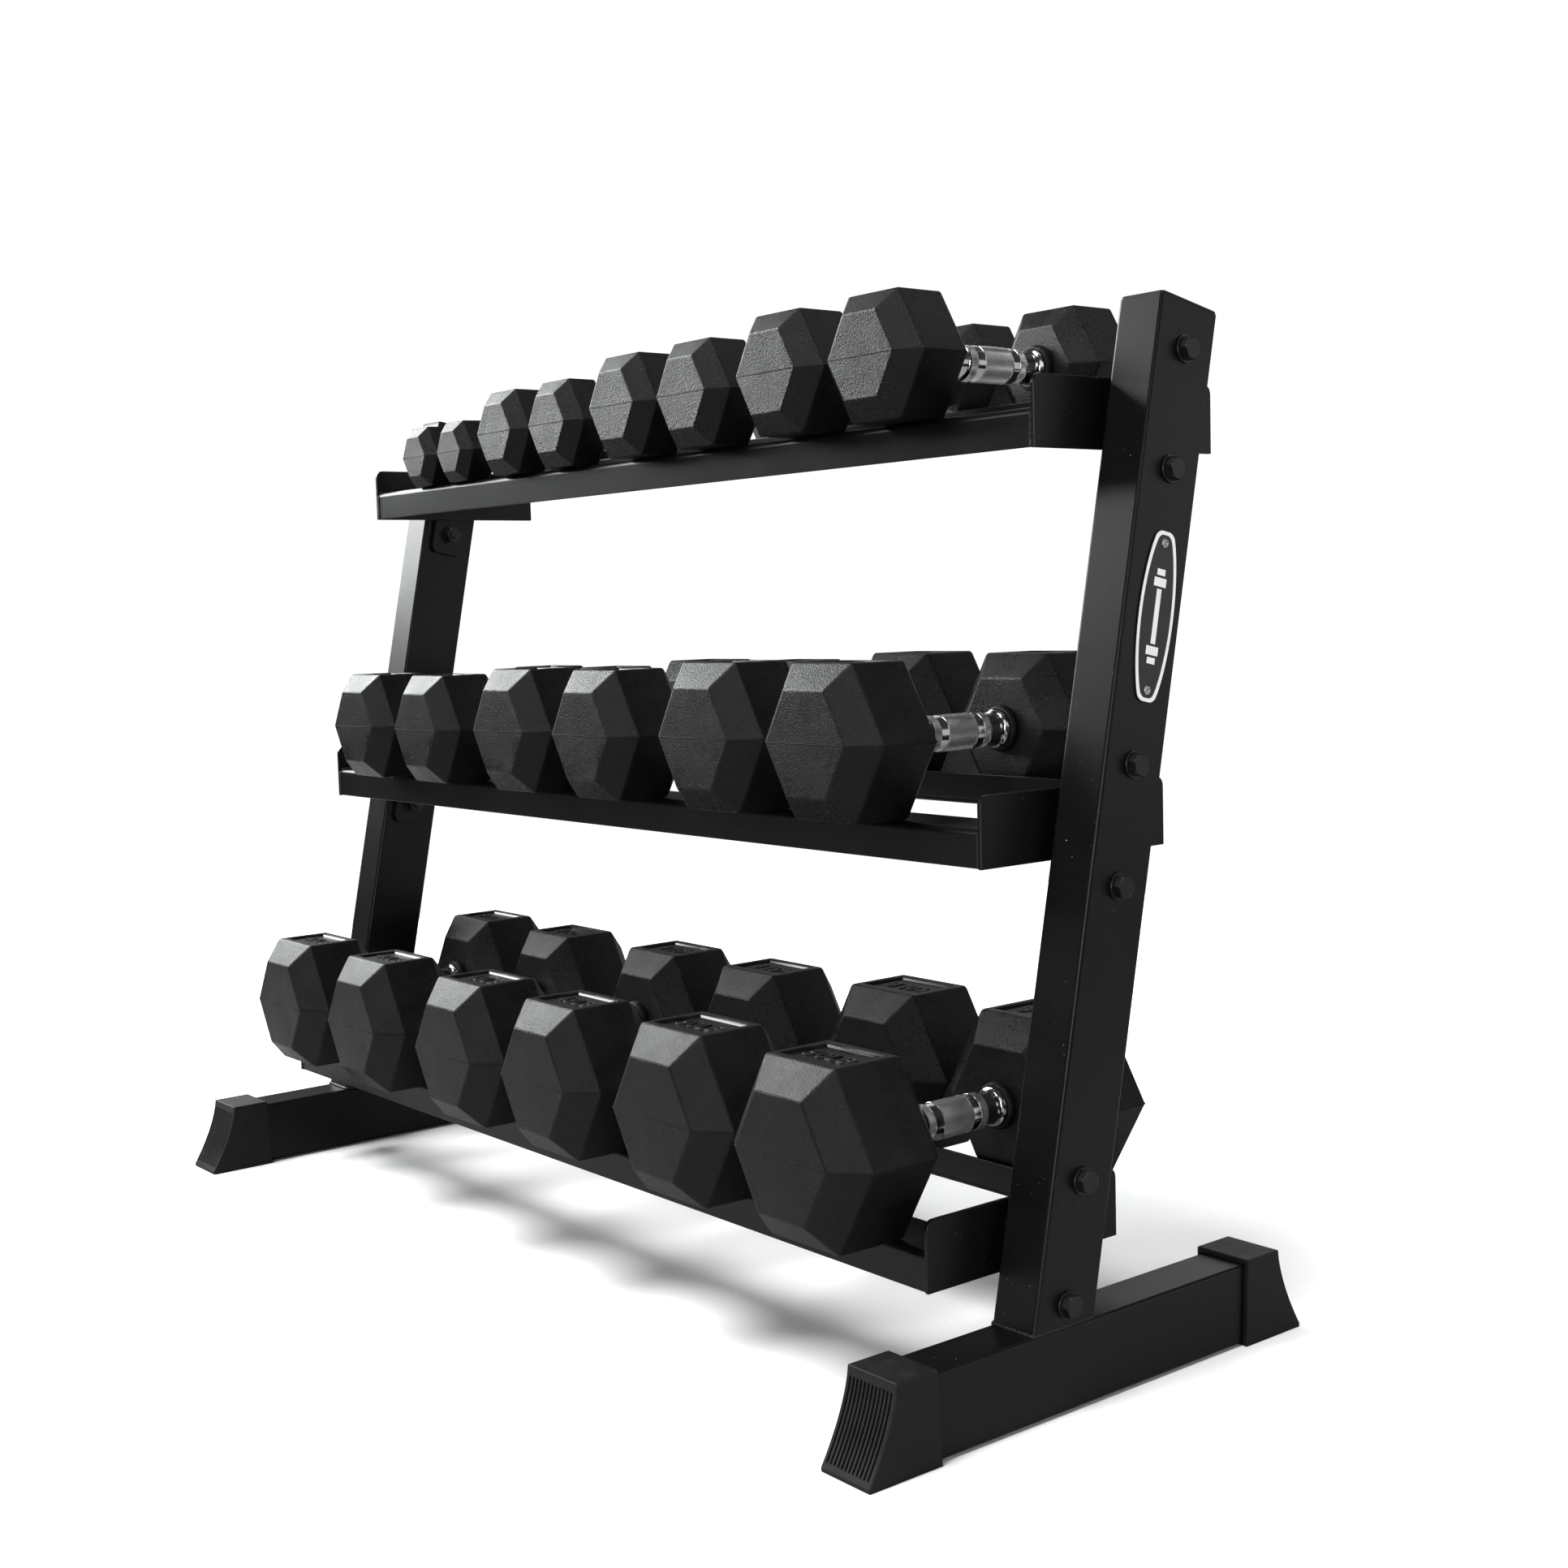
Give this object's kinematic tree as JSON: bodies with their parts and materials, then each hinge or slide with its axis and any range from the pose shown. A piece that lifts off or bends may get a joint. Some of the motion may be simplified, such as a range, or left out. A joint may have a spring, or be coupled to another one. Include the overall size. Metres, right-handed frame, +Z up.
{
  "type": "dumbbell rack",
  "caption": "Free-standing three-tier steel rack with leaning end frames and angle-rail shelves, loaded with pairs of hexagonal rubber dumbbells.",
  "frame": {"origin": "on the floor, midway along the rack and midway between the front and rear foot caps", "axes": "+X along the rack towards its right-hand end as seen from the front, +Y to the rear, +Z up"},
  "size_m": [1.2122, 0.499, 0.8943],
  "materials": {
    "powder_coated_steel": "satin",
    "moulded_plastic": "matte",
    "black_fasteners": "satin",
    "rubber_coated_casting": "matte",
    "rubber_skin": "matte",
    "chrome_handle": "polished",
    "badge_plate": "gloss",
    "badge_outline": "satin"
  },
  "bodies": {
    "rack": {"base_tube_left": "powder_coated_steel", "base_tube_right": "powder_coated_steel", "bolt_bottom_left_high": "black_fasteners", "bolt_bottom_left_low": "black_fasteners", "bolt_bottom_right_high": "black_fasteners", "bolt_bottom_right_low": "black_fasteners", "bolt_middle_left_high": "black_fasteners", "bolt_middle_left_low": "black_fasteners", "bolt_middle_right_high": "black_fasteners", "bolt_middle_right_low": "black_fasteners", "bolt_top_left_high": "black_fasteners", "bolt_top_left_low": "black_fasteners", "bolt_top_right_high": "black_fasteners", "bolt_top_right_low": "black_fasteners", "end_plate_bottom_left": "powder_coated_steel", "end_plate_bottom_right": "powder_coated_steel", "end_plate_middle_left": "powder_coated_steel", "end_plate_middle_right": "powder_coated_steel", "end_plate_top_left": "powder_coated_steel", "end_plate_top_right": "powder_coated_steel", "foot_cap_front_left": "moulded_plastic", "foot_cap_front_right": "moulded_plastic", "foot_cap_rear_left": "moulded_plastic", "foot_cap_rear_right": "moulded_plastic", "mount_plate_bottom_left": "powder_coated_steel", "mount_plate_bottom_right": "powder_coated_steel", "mount_plate_middle_left": "powder_coated_steel", "mount_plate_middle_right": "powder_coated_steel", "mount_plate_top_left": "powder_coated_steel", "mount_plate_top_right": "powder_coated_steel", "rail_front_bottom": "powder_coated_steel", "rail_front_middle": "powder_coated_steel", "rail_front_top": "powder_coated_steel", "rail_rear_bottom": "powder_coated_steel", "rail_rear_middle": "powder_coated_steel", "rail_rear_top": "powder_coated_steel", "top_plug_left": "moulded_plastic", "top_plug_right": "moulded_plastic", "upright_left": "powder_coated_steel", "upright_right": "powder_coated_steel"},
    "dumbbell_05lb_a": {"dumbbell_05lb_a": "rubber_coated_casting"},
    "dumbbell_05lb_b": {"dumbbell_05lb_b": "rubber_coated_casting"},
    "dumbbell_10lb_a": {"dumbbell_10lb_a": "rubber_coated_casting"},
    "dumbbell_10lb_b": {"dumbbell_10lb_b": "rubber_coated_casting"},
    "dumbbell_15lb_a": {"dumbbell_15lb_a": "rubber_coated_casting"},
    "dumbbell_15lb_b": {"dumbbell_15lb_b": "rubber_coated_casting"},
    "dumbbell_20lb_a": {"dumbbell_20lb_a": "rubber_coated_casting"},
    "dumbbell_20lb_b": {"dumbbell_20lb_b": "rubber_coated_casting"},
    "dumbbell_25lb_a": {"dumbbell_25lb_a": "rubber_coated_casting"},
    "dumbbell_25lb_b": {"dumbbell_25lb_b": "rubber_coated_casting"},
    "dumbbell_30lb_a": {"dumbbell_30lb_a": "rubber_coated_casting"},
    "dumbbell_30lb_b": {"dumbbell_30lb_b": "rubber_coated_casting"},
    "dumbbell_35lb_a": {"dumbbell_35lb_a": "rubber_coated_casting"},
    "dumbbell_35lb_b": {"dumbbell_35lb_b": "rubber_coated_casting"},
    "dumbbell_40lb_a": {"dumbbell_40lb_a": "rubber_coated_casting"},
    "dumbbell_40lb_b": {"dumbbell_40lb_b": "rubber_coated_casting"},
    "dumbbell_45lb_a": {"dumbbell_45lb_a": "rubber_coated_casting"},
    "dumbbell_45lb_b": {"dumbbell_45lb_b": "rubber_coated_casting"},
    "dumbbell_50lb_a": {"dumbbell_50lb_a": "rubber_coated_casting"},
    "dumbbell_50lb_b": {"dumbbell_50lb_b": "rubber_coated_casting"}
  },
  "joints": [
    {"name": "lift_05lb_a", "type": "slide", "parent": "rack", "child": "dumbbell_05lb_a", "axis": [0, 0, 1], "range_m": [0, 0.1]},
    {"name": "lift_05lb_b", "type": "slide", "parent": "rack", "child": "dumbbell_05lb_b", "axis": [0, 0, 1], "range_m": [0, 0.1]},
    {"name": "lift_10lb_a", "type": "slide", "parent": "rack", "child": "dumbbell_10lb_a", "axis": [0, 0, 1], "range_m": [0, 0.1]},
    {"name": "lift_10lb_b", "type": "slide", "parent": "rack", "child": "dumbbell_10lb_b", "axis": [0, 0, 1], "range_m": [0, 0.1]},
    {"name": "lift_15lb_a", "type": "slide", "parent": "rack", "child": "dumbbell_15lb_a", "axis": [0, 0, 1], "range_m": [0, 0.1]},
    {"name": "lift_15lb_b", "type": "slide", "parent": "rack", "child": "dumbbell_15lb_b", "axis": [0, 0, 1], "range_m": [0, 0.1]},
    {"name": "lift_20lb_a", "type": "slide", "parent": "rack", "child": "dumbbell_20lb_a", "axis": [0, 0, 1], "range_m": [0, 0.1]},
    {"name": "lift_20lb_b", "type": "slide", "parent": "rack", "child": "dumbbell_20lb_b", "axis": [0, 0, 1], "range_m": [0, 0.1]},
    {"name": "lift_25lb_a", "type": "slide", "parent": "rack", "child": "dumbbell_25lb_a", "axis": [0, 0, 1], "range_m": [0, 0.1]},
    {"name": "lift_25lb_b", "type": "slide", "parent": "rack", "child": "dumbbell_25lb_b", "axis": [0, 0, 1], "range_m": [0, 0.1]},
    {"name": "lift_30lb_a", "type": "slide", "parent": "rack", "child": "dumbbell_30lb_a", "axis": [0, 0, 1], "range_m": [0, 0.1]},
    {"name": "lift_30lb_b", "type": "slide", "parent": "rack", "child": "dumbbell_30lb_b", "axis": [0, 0, 1], "range_m": [0, 0.1]},
    {"name": "lift_35lb_a", "type": "slide", "parent": "rack", "child": "dumbbell_35lb_a", "axis": [0, 0, 1], "range_m": [0, 0.1]},
    {"name": "lift_35lb_b", "type": "slide", "parent": "rack", "child": "dumbbell_35lb_b", "axis": [0, 0, 1], "range_m": [0, 0.1]},
    {"name": "lift_40lb_a", "type": "slide", "parent": "rack", "child": "dumbbell_40lb_a", "axis": [0, 0, 1], "range_m": [0, 0.1]},
    {"name": "lift_40lb_b", "type": "slide", "parent": "rack", "child": "dumbbell_40lb_b", "axis": [0, 0, 1], "range_m": [0, 0.1]},
    {"name": "lift_45lb_a", "type": "slide", "parent": "rack", "child": "dumbbell_45lb_a", "axis": [0, 0, 1], "range_m": [0, 0.1]},
    {"name": "lift_45lb_b", "type": "slide", "parent": "rack", "child": "dumbbell_45lb_b", "axis": [0, 0, 1], "range_m": [0, 0.1]},
    {"name": "lift_50lb_a", "type": "slide", "parent": "rack", "child": "dumbbell_50lb_a", "axis": [0, 0, 1], "range_m": [0, 0.1]},
    {"name": "lift_50lb_b", "type": "slide", "parent": "rack", "child": "dumbbell_50lb_b", "axis": [0, 0, 1], "range_m": [0, 0.1]}
  ]
}
